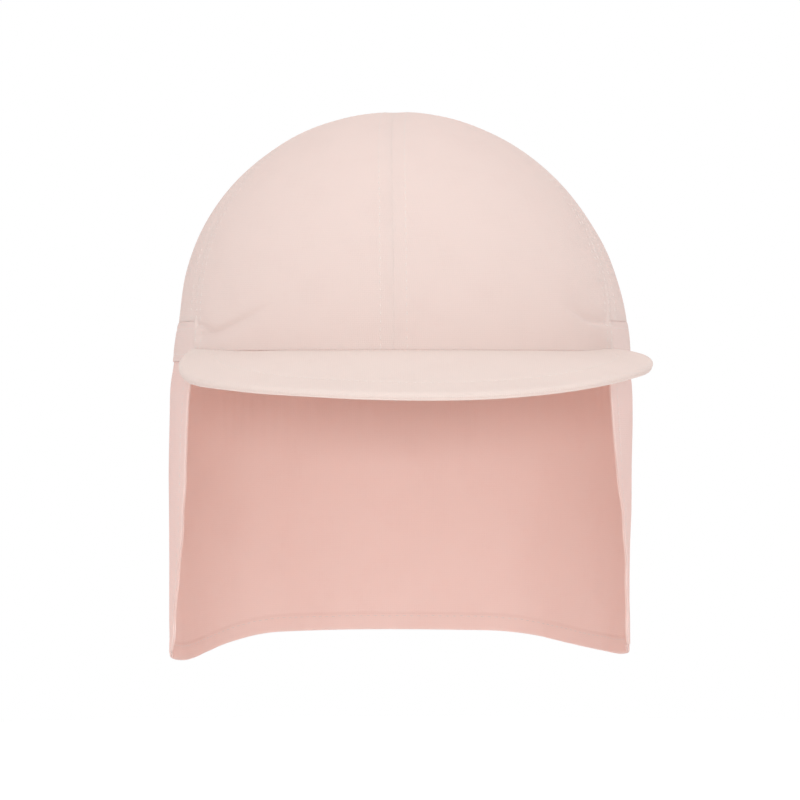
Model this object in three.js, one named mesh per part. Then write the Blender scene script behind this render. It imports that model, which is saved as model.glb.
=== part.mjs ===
// A toddler's legionnaire cap in the shape it takes on a head: a crown of four sewn panels,
// an elasticated casing round the back, a stiff peak and a neck flap.
// Millimetres, +Z up, the peak towards -Y. Left and right are the wearer's, so left is +X.
// The origin is the centre of the head opening, level with the lower edge of the casing.
// A turn is an angle in degrees round the head, from 0 at the forehead to 90 at the left ear.

import * as THREE from "three";

const { degToRad, lerp, smoothstep } = THREE.MathUtils;

// Crown, measured outside the cloth
const crownHalfWidth = 80.8;
const crownFront = 87; // from the origin to the forehead
const crownBack = 90; // from the origin to the nape
const crownHeight = 88;
const crownLean = -1.2; // the top leans to the wearer's right
const crownSetBack = 7; // and lies behind the middle
const leftRoundness = 1.99; // superellipse exponents: 2 is an ellipse, more is boxier
const rightRoundness = 2.09;
const foreheadRoundness = 2.35;
const napeRoundness = 2.15;
const crownCloth = 1.4;
const topOpening = 1.6; // where the four panel tips meet

// Seams
const seamGap = 0.3; // between neighbouring pieces
const seamSink = 0.5; // how far a seam draws the cloth in
const seamWidth = 3.5; // half the width of that furrow
const frontSeamTurn = -1.7; // at the rim
const frontSeamDrift = 3.5; // how far it strays to the right on its way up
const leftSeamTurn = 64;
const rightSeamTurn = -62;
const sideSeamLean = 7; // how far they run back on their way up

// Casing
const casingHeight = 14;
const casingThickness = 2.2;
const casingPull = 0.6; // the elastic draws the crown in just above it
const casingPullHeight = 9;
const casingPullTurns = [40, 80]; // and does so more and more between these two turns

// Creases of the front panels
const creaseDepth = 1.1;
const creaseWidth = 3.6;

// Peak
const peakThickness = 3;
const peakReach = 47.5; // at the middle, out from the forehead
const peakHalfWidth = 81.6;
const peakShift = 5.2; // it is sewn on towards the wearer's left
const peakTipsForward = 45; // where it is widest, ahead of the origin
const peakFall = 17; // degrees below level at the middle
const peakRoll = 10; // degrees by which its right end falls more, and its left end less
const peakEndReach = 2.4; // what stands out at its two ends
const peakEndSharpness = 26; // more gives tighter corners

// Neck flap
const flapCloth = 1.2;
const flapDrop = 99; // at the nape
const flapSwell = 0.9; // how far it stands out below the casing
const flapSwellDepth = 6;
const flapSquareness = 2.9; // its plan at the hem: 2 hangs straight down, more is squarer in front
const flapFrontRise = 4; // its hem rises again from the ears to the front edges
const flapCorner = 6; // radius of the two lower corners
const foldDepth = 1.3;
const hemDepth = 7;
const hemThickness = 2;

// Each crease runs from a side seam towards the forehead. Its span is in degrees, its heights are
// shares of crownHeight, and its depth and width are shares of the sizes above.
const creases = [
  { side: "right", span: 38, startHeight: 0.115, endHeight: 0.27, sag: 0.04, depth: 0.9, width: 1 },
  { side: "right", span: 11, startHeight: 0.155, endHeight: 0.12, sag: 0, depth: 0.6, width: 0.7 },
  { side: "left", span: 22, startHeight: 0.145, endHeight: 0.215, sag: 0.015, depth: 1, width: 0.9 },
  { side: "left", span: 20, startHeight: 0.25, endHeight: 0.27, sag: 0, depth: 0.5, width: 2.2 },
];

// Soft upright folds of the flap: a row for each, with its depth as a share of foldDepth.
const flapFolds = [
  { turn: 80, span: 14, depth: -1.2 },
  { turn: 113, span: 8, depth: 0.6 },
  { turn: 130, span: 8, depth: -0.7 },
  { turn: 149, span: 9, depth: 0.9 },
  { turn: 171, span: 8, depth: -0.6 },
  { turn: 193, span: 10, depth: 0.8 },
  { turn: 216, span: 8, depth: -0.9 },
  { turn: 238, span: 9, depth: 0.7 },
  { turn: 258, span: 7, depth: -0.6 },
  { turn: 279, span: 9, depth: -0.3 },
];

// How each side of the flap hangs: it opens between two shares of its drop, and its hem dips,
// by a share of flapDrop, between two angles from the middle of the back.
const flapSides = {
  left: { opensFrom: 0.1, opensTo: 0.85, dip: 0.053, dipsFrom: 22, dipsTo: 70 },
  right: { opensFrom: 0.2, opensTo: 1, dip: 0.076, dipsFrom: 34, dipsTo: 72 },
};

// Columns of the mesh across each piece
const columns = { frontPanel: 14, backPanel: 18, casing: 44, peak: 40, flap: 54 };

const colours = { crown: 0xecdbd3, casing: 0xe9d3ca, peak: 0xecdad2, flap: 0xe8c6bd };

const bell = (distance, width) => Math.exp(-((distance / width) ** 2));

// A point on the rim, moved outward from the head by a distance.
function rimPoint(turn, outward = 0) {
  const angle = degToRad(turn);
  const length = Math.cos(angle) > 0 ? crownFront : crownBack;
  const normal = new THREE.Vector3(Math.sin(angle) / crownHalfWidth, -Math.cos(angle) / length, 0);
  return new THREE.Vector3(crownHalfWidth * Math.sin(angle), -length * Math.cos(angle), 0)
    .addScaledVector(normal.normalize(), outward);
}

// The turns of the seams at a latitude of the crown. A side seam leaves the rim at the temple
// and runs back on its way up.
const frontSeam = (latitude) => frontSeamTurn - frontSeamDrift * (latitude / (Math.PI / 2)) ** 2;
const sideSeamLeanAt = (latitude) => sideSeamLean * (1 - (1 - latitude / (Math.PI / 2)) ** 3);
const leftSeam = (latitude) => leftSeamTurn + sideSeamLeanAt(latitude);
const rightSeam = (latitude) => rightSeamTurn - sideSeamLeanAt(latitude);

function creaseDent(turn, latitude) {
  return creases.reduce((sum, crease) => {
    const inFront = crease.side === "left" ? leftSeam(latitude) - turn : turn - rightSeam(latitude);
    const along = inFront / crease.span;
    if (along <= 0 || along >= 1) return sum;
    const share = lerp(crease.startHeight, crease.endHeight, along) - crease.sag * 4 * along * (1 - along);
    const fade = smoothstep(along, 0, 0.15) * (1 - smoothstep(along, 0.5, 1));
    const away = (Math.sin(latitude) - share) * crownHeight;
    return sum + creaseDepth * crease.depth * fade * bell(away, creaseWidth * crease.width);
  }, 0);
}

// How far the seams, the elastic and the creases draw the crown in at one place.
function crownDent(turn, latitude, radius) {
  const height = crownHeight * Math.sin(latitude);
  const wrapped = turn > 180 ? turn - 360 : turn;
  const seams = [frontSeam(latitude), leftSeam(latitude), rightSeam(latitude), 180, -180];
  const nearest = Math.min(...seams.map((seam) => Math.abs(wrapped - seam)));
  const furrow = seamSink * bell(degToRad(nearest) * radius, seamWidth);
  const behind = smoothstep(Math.abs(wrapped), ...casingPullTurns);
  const pull = casingPull * behind * bell(height - casingHeight, casingPullHeight);
  return furrow + pull + creaseDent(wrapped, latitude);
}

// The outside of the crown. Latitude is 0 at the rim and a quarter turn at the top.
function crownPoint(turn, latitude) {
  const facing = Math.cos(degToRad(turn));
  const sideRoundness = Math.sin(degToRad(turn)) > 0 ? leftRoundness : rightRoundness;
  const endRoundness = facing > 0 ? foreheadRoundness : napeRoundness;
  const roundness = lerp(sideRoundness, endRoundness, facing ** 2);
  const up = Math.sin(latitude);
  const out = (1 - up ** roundness) ** (1 / roundness);
  const top = new THREE.Vector3(crownLean, crownSetBack, 0);
  const spoke = rimPoint(turn).sub(top);
  const radius = spoke.length() * out;
  const point = top.addScaledVector(spoke, out).setZ(crownHeight * up);
  const inward = spoke.normalize().multiplyScalar(-Math.cos(latitude)).setZ(-up);
  return point.addScaledVector(inward, crownDent(turn, latitude, radius));
}

const latitudeAt = (height) => Math.asin(height / crownHeight);

// The degrees of turn that a distance takes up at a latitude of the crown.
function turnFor(distance, turn, latitude) {
  const step = crownPoint(turn + 0.5, latitude).distanceTo(crownPoint(turn - 0.5, latitude));
  return distance / step;
}

// The inside of a wall: each outer point moved in along the surface's normal.
function insideOf(outerAt, thicknessAt) {
  const step = 1e-3;
  return (u, v) => {
    const [u0, u1] = [Math.max(u - step, 0), Math.min(u + step, 1)];
    const [v0, v1] = [Math.max(v - step, 0), Math.min(v + step, 1)];
    const across = outerAt(u1, v).sub(outerAt(u0, v));
    const up = outerAt(u, v1).sub(outerAt(u, v0));
    const normal = across.cross(up).normalize();
    return outerAt(u, v).addScaledVector(normal, -thicknessAt(u, v));
  };
}

// A closed wall between two surfaces over the same grid of shares. Seen from outside,
// u runs to the right and v runs up.
function wall(us, vs, outerAt, innerAt) {
  const positions = [];
  for (const surface of [outerAt, innerAt]) {
    for (const v of vs) {
      for (const u of us) positions.push(...surface(u, v));
    }
  }
  const width = us.length;
  const layer = width * vs.length;
  const faces = [];
  const quad = (a, b, c, d) => faces.push(a, b, c, a, c, d);
  for (let row = 0; row < vs.length - 1; row += 1) {
    for (let column = 0; column < width - 1; column += 1) {
      const a = row * width + column;
      quad(a, a + 1, a + 1 + width, a + width);
      quad(layer + a, layer + a + width, layer + a + 1 + width, layer + a + 1);
    }
  }
  for (let column = 0; column < width - 1; column += 1) {
    const top = layer - width + column;
    quad(column, layer + column, layer + column + 1, column + 1);
    quad(top, top + 1, layer + top + 1, layer + top);
  }
  for (let row = 0; row < vs.length - 1; row += 1) {
    const start = row * width;
    const end = start + width - 1;
    quad(start, start + width, layer + start + width, layer + start);
    quad(end, layer + end, layer + end + width, end + width);
  }
  const geometry = new THREE.BufferGeometry();
  geometry.setAttribute("position", new THREE.Float32BufferAttribute(positions, 3));
  geometry.setIndex(faces);
  geometry.computeVertexNormals();
  return geometry;
}

// Shares from 0 to 1 in even steps, or closer together at both ends.
const even = (count) => Array.from({ length: count + 1 }, (_, i) => i / count);
const closerAtEnds = (count, pinch) =>
  even(count).map((share) => share - (pinch * Math.sin(2 * Math.PI * share)) / (2 * Math.PI));

const mesh = (name, geometry, color, roughness) => {
  const made = new THREE.Mesh(geometry, new THREE.MeshStandardMaterial({ color, roughness, metalness: 0 }));
  made.name = name;
  return made;
};

// One crown panel between two seams, given as functions of latitude, and above a height.
// Neighbours share the latitudes of their rows, which lie closer where the creases are.
function crownPanel(name, startSeam, endSeam, bottom, across) {
  const quarter = Math.PI / 2;
  const lowest = latitudeAt(bottom) / quarter;
  const highest = Math.acos(topOpening / crownHalfWidth) / quarter;
  const creased = 0.24; // of the way up
  const shared = [
    ...even(8).map((share) => share * creased),
    ...even(10).slice(1).map((share) => lerp(creased, highest, share)),
  ];
  const rows = [lowest, ...shared.filter((share) => share > lowest + 0.01)];
  const outerAt = (u, v) => {
    const latitude = v * quarter;
    const start = startSeam(latitude);
    const end = endSeam(latitude);
    const from = start + turnFor(seamGap / 2, start, latitude);
    const to = end - turnFor(seamGap / 2, end, latitude);
    return crownPoint(lerp(from, to, u), latitude);
  };
  const geometry = wall(closerAtEnds(across, 0.6), rows, outerAt, insideOf(outerAt, () => crownCloth));
  return mesh(name, geometry, colours.crown, 0.85);
}

function crown() {
  const group = new THREE.Group();
  const onPeak = peakThickness + 2 * seamGap;
  const onCasing = casingHeight + seamGap;
  group.add(
    crownPanel("crown_front_left", frontSeam, leftSeam, onPeak, columns.frontPanel),
    crownPanel("crown_front_right", rightSeam, frontSeam, onPeak, columns.frontPanel),
    crownPanel("crown_back_left", leftSeam, () => 180, onCasing, columns.backPanel),
    crownPanel("crown_back_right", () => -180, rightSeam, onCasing, columns.backPanel),
  );
  return group;
}

// The casing follows the crown's surface from one side seam round the back to the other.
function casing() {
  const outerAt = (u, v) => {
    const latitude = latitudeAt(casingHeight * v);
    const gap = turnFor(seamGap / 2, leftSeamTurn, latitude);
    return crownPoint(lerp(leftSeam(latitude) + gap, 360 + rightSeam(latitude) - gap, u), latitude);
  };
  const us = closerAtEnds(columns.casing, 0.4);
  const geometry = wall(us, even(4), outerAt, insideOf(outerAt, () => casingThickness));
  return mesh("back_casing", geometry, colours.casing, 0.85);
}

// How far the peak stands out from the rim at a turn: a line straight out from the rim
// meets the peak's outline, an ellipse, and both ends are rounded off.
function peakReachAt(turn) {
  const start = rimPoint(turn);
  const ray = rimPoint(turn, 1).sub(start);
  const length = crownFront + peakReach - peakTipsForward;
  const [x, y] = [(start.x - peakShift) / peakHalfWidth, (start.y + peakTipsForward) / length];
  const [dx, dy] = [ray.x / peakHalfWidth, ray.y / length];
  const [a, b, c] = [dx * dx + dy * dy, x * dx + y * dy, x * x + y * y - 1];
  const reach = (Math.sqrt(b * b - a * c) - b) / a;
  const seamTurn = turn > 0 ? leftSeamTurn : rightSeamTurn;
  const rounding = Math.sqrt(1 - (turn / seamTurn) ** peakEndSharpness);
  return peakEndReach + (reach - peakEndReach) * rounding;
}

function peak() {
  const nose = peakThickness / 2;
  const gap = turnFor(seamGap / 2, leftSeamTurn, 0);
  // Rows across the peak: three round the nose, then the sloping plate, then the sewn-in edge.
  const rows = [
    { plate: 1, round: 75 },
    { plate: 1, round: 50 },
    { plate: 1, round: 25 },
    ...[1, 0.8, 0.6, 0.4, 0.2, 0].map((plate) => ({ plate, round: 0 })),
    { plate: 0, round: 0, sewnIn: true },
  ];
  const surface = (side) => (u, v) => {
    const turn = lerp(rightSeamTurn + gap, leftSeamTurn - gap, u);
    const fall = peakFall - (peakRoll * turn * Math.abs(turn)) / leftSeamTurn ** 2;
    const row = rows[Math.round(v * (rows.length - 1))];
    const round = degToRad(row.round);
    const out = row.sewnIn
      ? -crownCloth
      : (peakReachAt(turn) - nose) * row.plate + nose * Math.sin(round);
    const middle = seamGap + nose - Math.tan(degToRad(fall)) * Math.max(out, 0);
    return rimPoint(turn, out).setZ(middle + side * nose * Math.cos(round));
  };
  const us = closerAtEnds(columns.peak, 0.85);
  const geometry = wall(us, even(rows.length - 1), surface(1), surface(-1));
  return mesh("peak", geometry, colours.peak, 0.8);
}

// How much wider the flap hangs in front of the ears, where its plan is squarer than an ellipse.
function openingAt(turn, squareness) {
  const facing = Math.max(Math.cos(degToRad(turn)), 0);
  return (1 - facing ** squareness) ** (1 / squareness) / Math.sqrt(1 - facing ** 2);
}

// How far the hem hangs below the casing at a turn, with the lower front corners rounded.
function flapDropAt(turn, fromEdge) {
  const side = turn < 180 ? flapSides.left : flapSides.right;
  const fromNape = Math.abs(turn - 180);
  const dip = flapDrop * side.dip * smoothstep(fromNape, side.dipsFrom, side.dipsTo)
    - flapFrontRise * smoothstep(fromNape, 80, 116);
  const inCorner = Math.max(flapCorner - fromEdge, 0);
  const corner = flapCorner - Math.sqrt(flapCorner ** 2 - inCorner ** 2);
  return flapDrop + dip - corner;
}

function flap() {
  const gap = turnFor(seamGap / 2, leftSeamTurn, 0);
  const [leftEdge, rightEdge] = [leftSeamTurn + gap, 360 + rightSeamTurn - gap];
  const turnAt = (u) => lerp(leftEdge, rightEdge, u);
  const fromEdge = (turn) => degToRad(Math.min(turn - leftEdge, rightEdge - turn)) * crownHalfWidth;
  const start = -(casingThickness - flapCloth) / 2; // under the middle of the casing
  const outerAt = (u, v) => {
    const turn = turnAt(u);
    const drop = flapDropAt(turn, fromEdge(turn)) - seamGap;
    const share = 1 - v;
    const side = turn < 180 ? flapSides.left : flapSides.right;
    const squareness = lerp(2, flapSquareness, smoothstep(share, side.opensFrom, side.opensTo));
    const swell = flapSwell * (1 - bell(share * drop, flapSwellDepth));
    const folds = flapFolds.reduce((sum, fold) => sum + fold.depth * bell(turn - fold.turn, fold.span), 0);
    const out = start + swell + foldDepth * folds * smoothstep(share, 0.1, 1);
    const point = rimPoint(turn, out).setZ(-seamGap - share * drop);
    point.x *= openingAt(turn, squareness);
    return point;
  };
  const thicknessAt = (u, v) => {
    const turn = turnAt(u);
    const fromHem = Math.min(v * flapDropAt(turn, fromEdge(turn)), fromEdge(turn));
    return lerp(hemThickness, flapCloth, smoothstep(fromHem, hemDepth - 0.5, hemDepth + 0.5));
  };
  // Rows from the hem up: the hem's two edges, then even steps to the casing.
  const hemShare = hemDepth / flapDrop;
  const step = 0.6 / flapDrop;
  const vs = [0, hemShare / 2, hemShare - step, hemShare + step];
  for (let i = 1; i <= 9; i += 1) vs.push(lerp(hemShare + step, 1 - flapSwellDepth / flapDrop, i / 9));
  vs.push(1 - flapSwellDepth / flapDrop / 2, 1);
  const us = closerAtEnds(columns.flap, 0.6);
  const geometry = wall(us, vs, outerAt, insideOf(outerAt, thicknessAt));
  return mesh("neck_flap", geometry, colours.flap, 0.9);
}

const cap = new THREE.Group();
cap.name = "legionnaire_cap";
cap.add(crown(), casing(), peak(), flap());

export default cap;
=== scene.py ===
import math

import bpy
import numpy as np
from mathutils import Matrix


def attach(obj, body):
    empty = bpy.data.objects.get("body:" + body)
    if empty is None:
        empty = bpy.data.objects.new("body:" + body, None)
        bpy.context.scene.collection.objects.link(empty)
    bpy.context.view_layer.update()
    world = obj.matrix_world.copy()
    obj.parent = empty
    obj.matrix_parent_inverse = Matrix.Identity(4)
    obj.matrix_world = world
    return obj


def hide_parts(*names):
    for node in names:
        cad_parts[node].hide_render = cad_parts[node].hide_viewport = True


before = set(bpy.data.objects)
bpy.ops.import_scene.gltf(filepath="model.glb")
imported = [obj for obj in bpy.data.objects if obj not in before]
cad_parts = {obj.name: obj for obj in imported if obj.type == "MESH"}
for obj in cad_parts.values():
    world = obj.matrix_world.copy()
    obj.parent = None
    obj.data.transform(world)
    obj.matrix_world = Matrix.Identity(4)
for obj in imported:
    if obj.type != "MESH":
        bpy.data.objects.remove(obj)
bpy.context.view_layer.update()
millimetre = 0.001
print("frame loaded:", len(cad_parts), "nodes")


# Small helpers for shapes

def bell(distance, width):
    return np.exp(-(distance / width) ** 2)


def ramp(value, start, end):
    share = np.clip((value - start) / (end - start), 0, 1)
    return share * share * (3 - 2 * share)


def blendTo(first, second, share):
    return first + (second - first) * share


# 1 along a fold, with a slow fall above it and a round hollow below it.
def foldShape(away, above, below):
    return np.where(away > 0, np.exp(-np.abs(away) / above), bell(away, below))


# A row of values, each made the mean of its neighbours up to so many steps away.
def smoothed(values, spread):
    count = 2 * spread + 1
    return np.convolve(np.pad(values, spread, "edge"), np.ones(count) / count, "valid")


# How far a rounded edge has fallen away at a distance from the edge, 1 at the edge itself.
def rolled(distance, radius):
    left = 1 - np.clip(distance / radius, 0, 1)
    return 1 - np.sqrt(1 - left * left)


# Smooth random bumps from -1 to 1, one to each size of cloth. The seed keeps each run the same.
def crumple(across, up, size, seed):
    count = 61
    cells = np.random.default_rng(seed).uniform(-1, 1, (count, count))
    x, y = across / size, up / size
    column, row = np.floor(x).astype(int), np.floor(y).astype(int)
    fx, fy = ramp(x - column, 0, 1), ramp(y - row, 0, 1)
    near, far = column % count, (column + 1) % count
    low, high = row % count, (row + 1) % count
    bottom = blendTo(cells[low, near], cells[low, far], fx)
    top = blendTo(cells[high, near], cells[high, far], fx)
    return blendTo(bottom, top, fy)


# Outward normals of a grid whose columns run to the right and whose rows run up.
def gridNormals(points):
    across = np.gradient(points, axis=1)
    up = np.gradient(points, axis=0)
    normals = np.cross(across, up)
    return normals / np.maximum(np.linalg.norm(normals, axis=2, keepdims=True), 1e-9)


# Length from the first point to each of the others, along an axis of a grid.
def lengthAlong(points, axis):
    steps = np.linalg.norm(np.diff(points, axis=axis), axis=-1)
    start = np.zeros_like(np.take(steps, [0], axis=axis))
    return np.concatenate([start, np.cumsum(steps, axis=axis)], axis=axis)


def makeObject(name, points, faces, places=None):
    mesh = bpy.data.meshes.new(name)
    mesh.from_pydata((points * millimetre).tolist(), [], faces.tolist())
    mesh.polygons.foreach_set("use_smooth", np.ones(len(mesh.polygons), bool))
    if places is not None:
        corners = np.zeros(len(mesh.loops), np.int32)
        mesh.loops.foreach_get("vertex_index", corners)
        layer = mesh.uv_layers.new(name="clothPlace")
        layer.data.foreach_set("uv", (places[corners] * millimetre).astype(np.float32).ravel())
    mesh.update()
    made = bpy.data.objects.new(name, mesh)
    bpy.context.scene.collection.objects.link(made)
    return made


# A closed wall of cloth between an outer and an inner grid of the same size.
def makeCloth(name, outer, inner, places):
    rows, columns = outer.shape[:2]
    layer = rows * columns
    index = np.arange(layer).reshape(rows, columns)
    a, b = index[:-1, :-1].ravel(), index[:-1, 1:].ravel()
    c, d = index[1:, 1:].ravel(), index[1:, :-1].ravel()
    faces = [np.stack([a, b, c, d], 1), np.stack([a, d, c, b], 1) + layer]
    bottom, top, start, end = index[0], index[-1], index[:, 0], index[:, -1]
    for edge, forward in ((bottom, True), (top, False), (start, False), (end, True)):
        first, second = (edge[:-1], edge[1:]) if forward else (edge[1:], edge[:-1])
        faces.append(np.stack([first, first + layer, second + layer, second], 1))
    points = np.concatenate([outer.reshape(-1, 3), inner.reshape(-1, 3)])
    places = np.concatenate([places.reshape(-1, 2), places.reshape(-1, 2)])
    return makeObject(name, points, np.concatenate(faces), places)


# Sewing

sewing = {
    "stitchPitch": 2.7,
    "stitchLength": 2.05,
    "threadWidth": 0.32,
    "sunk": 0.06,  # how deep the middle of the thread lies in the cloth
    "dive": 0.55,  # how far its ends go down, as a share of its width
    "sides": 6,
    "rings": [(-1, 0.35), (-0.8, 0.85), (-0.3, 1), (0.3, 1), (0.8, 0.85), (1, 0.35)],
    "wander": 0.06,  # a hand-guided row is never quite straight
    "fewest": 4,  # a row for fewer stitches than this is left out
    "seed": 100,
}


# Points and normals along a line across a grid: in each row, where a distance is reached.
def lineAtDistance(points, normals, distances, wanted):
    found = []
    for row in range(len(points)):
        if distances[row].max() < wanted or distances[row].min() > wanted:
            continue
        order = np.argsort(distances[row])
        reach = distances[row][order]
        found.append([
            np.interp(wanted, reach, source[row][order][:, axis])
            for source in (points, normals) for axis in range(3)
        ])
    found = np.array(found)
    return found[:, :3], found[:, 3:]


def valuesAlong(source, length, at):
    return np.stack([np.interp(at, length, source[:, axis]) for axis in range(3)], 1)


# The corners and faces of a row of stitches, each a short thread with rounded ends.
def stitchRow(points, normals, seed):
    length = lengthAlong(points, 0)
    count = int(length[-1] / sewing["stitchPitch"])
    random = np.random.default_rng(seed)
    middles = (np.arange(count) + 0.5) * length[-1] / max(count, 1)
    centre, normal = valuesAlong(points, length, middles), valuesAlong(normals, length, middles)
    look = 0.4  # how far on either side the row's direction is taken from
    ahead = valuesAlong(points, length, middles + look)
    ahead = ahead - valuesAlong(points, length, middles - look)
    ahead /= np.linalg.norm(ahead, axis=1, keepdims=True)
    side = np.cross(normal, ahead)
    side /= np.linalg.norm(side, axis=1, keepdims=True)
    centre += side * random.normal(0, sewing["wander"], (count, 1))
    centre -= normal * sewing["sunk"]
    radius = sewing["threadWidth"] / 2
    half = sewing["stitchLength"] / 2
    rings, sides = sewing["rings"], sewing["sides"]
    corners = []
    for along, thick in rings:
        down = sewing["threadWidth"] * sewing["dive"] * abs(along) ** 3
        for k in range(sides):
            angle = 2 * math.pi * k / sides
            corners.append(
                centre + ahead * along * half
                + side * math.cos(angle) * radius * thick
                + normal * (math.sin(angle) * radius * thick - down)
            )
    corners = np.stack(corners, 1).reshape(-1, 3)
    pattern = []
    for ring in range(len(rings) - 1):
        for k in range(sides):
            a, b = ring * sides + k, ring * sides + (k + 1) % sides
            pattern.append([a, b, b + sides, a + sides])
    last = (len(rings) - 1) * sides
    for k in range(1, sides - 2, 2):
        pattern.append([0, k + 2, k + 1, k])
        pattern.append([last, last + k, last + k + 1, last + k + 2])
    pattern = np.array(pattern)
    starts = np.arange(count)[:, None, None] * len(rings) * sides
    return corners, (pattern[None] + starts).reshape(-1, 4)


def makeStitches(name, rows):
    points, faces, used = [], [], 0
    shortest = sewing["fewest"] * sewing["stitchPitch"]
    for number, (line, normals) in enumerate(rows):
        if len(line) < 3 or lengthAlong(line, 0)[-1] < shortest:
            continue
        corners, quads = stitchRow(line, normals, sewing["seed"] + number)
        points.append(corners)
        faces.append(quads + used)
        used += len(corners)
    return makeObject(name, np.concatenate(points), np.concatenate(faces))


# The crown: four panels over a shape that is nearly an ellipsoid

crown = {
    "halfWidth": 80.8,
    "front": 87,
    "back": 90,
    "height": 88,
    "lean": -1.2,  # the top stands a little to the right
    "setBack": 7,
    "leftRoundness": 1.99,
    "rightRoundness": 2.09,
    "foreheadRoundness": 2.35,
    "napeRoundness": 2.15,
    "cloth": 0.9,
    "tip": 0.15,  # where the four panels meet
    "frontSeamTurn": -1.7,
    "frontSeamDrift": 3.5,
    "leftSeamTurn": 64,
    "rightSeamTurn": -62,
    "sideSeamLean": 7,
    "seamSink": 0.22,
    "seamWidth": 3.0,
    "frontBottom": 3.2,
    "backBottom": 14.0,
    "bottomRoll": 0.12,
    "bottomRollWidth": 0.8,
    "bottomRows": [0, 0.12, 0.3, 0.55, 0.85, 1.2],  # close together where the edge turns over
    "rowsTo": 34,  # the rows lie closer together below this height, where the creases are
    "rowHeight": 0.62,
    "rowsAbove": 66,
    "drift": 0.22,  # slow unevenness of cloth over a round form
    "driftSizes": (23, 11),
    "driftFrom": 12,  # the seams hold the cloth still as far as this
    # The right side lies flatter: a wide hollow, with its turn, height and half sizes
    "flat": {"turn": -88, "wide": 34, "height": 18, "high": 17.5, "depth": 1.6},
}

# What the sewing does to the cloth beside a seam.
seamLook = {
    "roll": 0.04,
    "rollWidth": 0.5,
    "allowance": 0.16,  # the folded edge under the cloth lifts it up to the stitches
    "allowanceEnds": (0.2, 1.4),  # and a little past them
    "pull": 0.1,
    "pullWidth": 0.5,
    "pucker": 0.09,
    "puckerLength": 4.5,
    "puckerWidth": 3.2,
}
# How far the rows of stitches are from a seam
centreRows = [4.4]
sideSeamRows = [1.6, 5.4]

# Creases of the front panels. A path is (degrees in front of the side seam, height). The cloth
# hangs over the crease from above, steeply, and rises from it gently below. One with a start
# is already that deep at the seam.
creases = [
    {"side": "right", "depth": 1.2, "above": 0.9, "below": 3.4,
     "path": [(0, 9.6), (4, 9.5), (10, 10.0), (15, 11.2), (22, 14.6), (27, 16.8), (37.4, 22.5)]},
    {"side": "right", "depth": 1.0, "above": 1.6, "below": 1.5,
     "path": [(0, 13.4), (3, 12.6), (8, 11.2), (12, 10.8)]},
    {"side": "left", "depth": 1.6, "above": 3.8, "below": 1.1, "start": 0.5,
     "path": [(0, 14), (5, 13.6), (10, 13.7), (14, 14.3), (18.6, 16.6), (24, 19)]},
    {"side": "left", "depth": 0.6, "above": 6.0, "below": 3.0,
     "path": [(0, 38.5), (10, 39.5), (20, 43)]},
    {"side": "left", "depth": 0.45, "above": 4.0, "below": 5.0,
     "path": [(0, 24.5), (9, 25.5), (18, 24)]},
]
creaseEnds = {"in": (0, 0.12), "out": (0.45, 1), "smoothing": 6, "steps": 60}

casing = {
    "height": 14,
    "thickness": 2.0,
    "columns": 620,
    "seamGap": 0.04,
    # How far the elastic draws the seam in above it: (turn, depth)
    "pull": [
        (-180, 0.7), (-135, 0.7), (-98, 0.1), (-80, 0.35), (-62, 0.5), (64, 0.96),
        (74, 0.7), (86, 0.2), (98, 0.1), (135, 0.7), (180, 0.7),
    ],
    "pullAbove": 4.0,
    "pullBelow": 1.1,
    "puff": 0.45,
    "rows": [2.4, 11.4],
    "rowWidth": 0.8,
    "rowDepth": (0.1, 0.18),  # at the seams, and how much more where the elastic is tight
    "edgeRoll": (0.1, 0.15),  # the same for its edges
    "edgeRollWidth": 0.7,
    "endRoll": 0.1,
    "endRollWidth": 0.6,
    "flatEnds": 6,  # no gathers as near as this to its ends
    "gathers": 62,
    "gatherRoundness": 0.7,
    "gatherShift": 1.3,  # how many gathers a furrow may stray by, over so many degrees
    "gatherShiftSize": 13,
    "gatherUnevenness": 0.25,
    "gatherUnevennessSize": 9,
    "gatherDepth": 0.75,
    "gathersFrom": 84,
    "gathersTo": 124,
    "lean": 0.4,  # degrees that a gather leans one way or the other
    "leanSize": 9,
    "leanSlope": 1.4,
    "crowding": 0.12,  # how much closer its columns lie towards the ends
    "rowFlattening": 0.45,  # the stitches hold the gathers down
    "rowPinch": 0.2,
    "insideShare": 0.6,  # how much of the gathers shows inside
    "fine": {"seed": 41, "closer": 1.7, "depth": 0.22},  # smaller gathers among the large
    "climb": 17,  # how high the gathers run up into the crown
    "climbShare": 0.75,
    "climbPower": 1.3,
    "hangDown": 13,  # and how far down into the flap
    "hangShare": 0.65,
    "hangPower": 1.2,
    "fullness": 1.25,  # the gathered cloth is longer than the band
}


def wrap(turn):
    return np.where(turn > 180, turn - 360, turn)


def rimPoint(turn, outward=0):
    angle = np.radians(turn)
    length = np.where(np.cos(angle) > 0, crown["front"], crown["back"])
    nx, ny = np.sin(angle) / crown["halfWidth"], -np.cos(angle) / length
    size = np.hypot(nx, ny)
    x = crown["halfWidth"] * np.sin(angle) + outward * nx / size
    y = -length * np.cos(angle) + outward * ny / size
    return np.stack([x, y, np.zeros_like(x)], -1)


def frontSeam(latitude):
    return crown["frontSeamTurn"] - crown["frontSeamDrift"] * (latitude / (math.pi / 2)) ** 2


def sideLean(latitude):
    return crown["sideSeamLean"] * (1 - (1 - latitude / (math.pi / 2)) ** 3)


def leftSeam(latitude):
    return crown["leftSeamTurn"] + sideLean(latitude)


def rightSeam(latitude):
    return crown["rightSeamTurn"] - sideLean(latitude)


def napeSeam(latitude):
    return 180 + 0 * latitude


def napeSeamRight(latitude):
    return -180 + 0 * latitude


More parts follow.
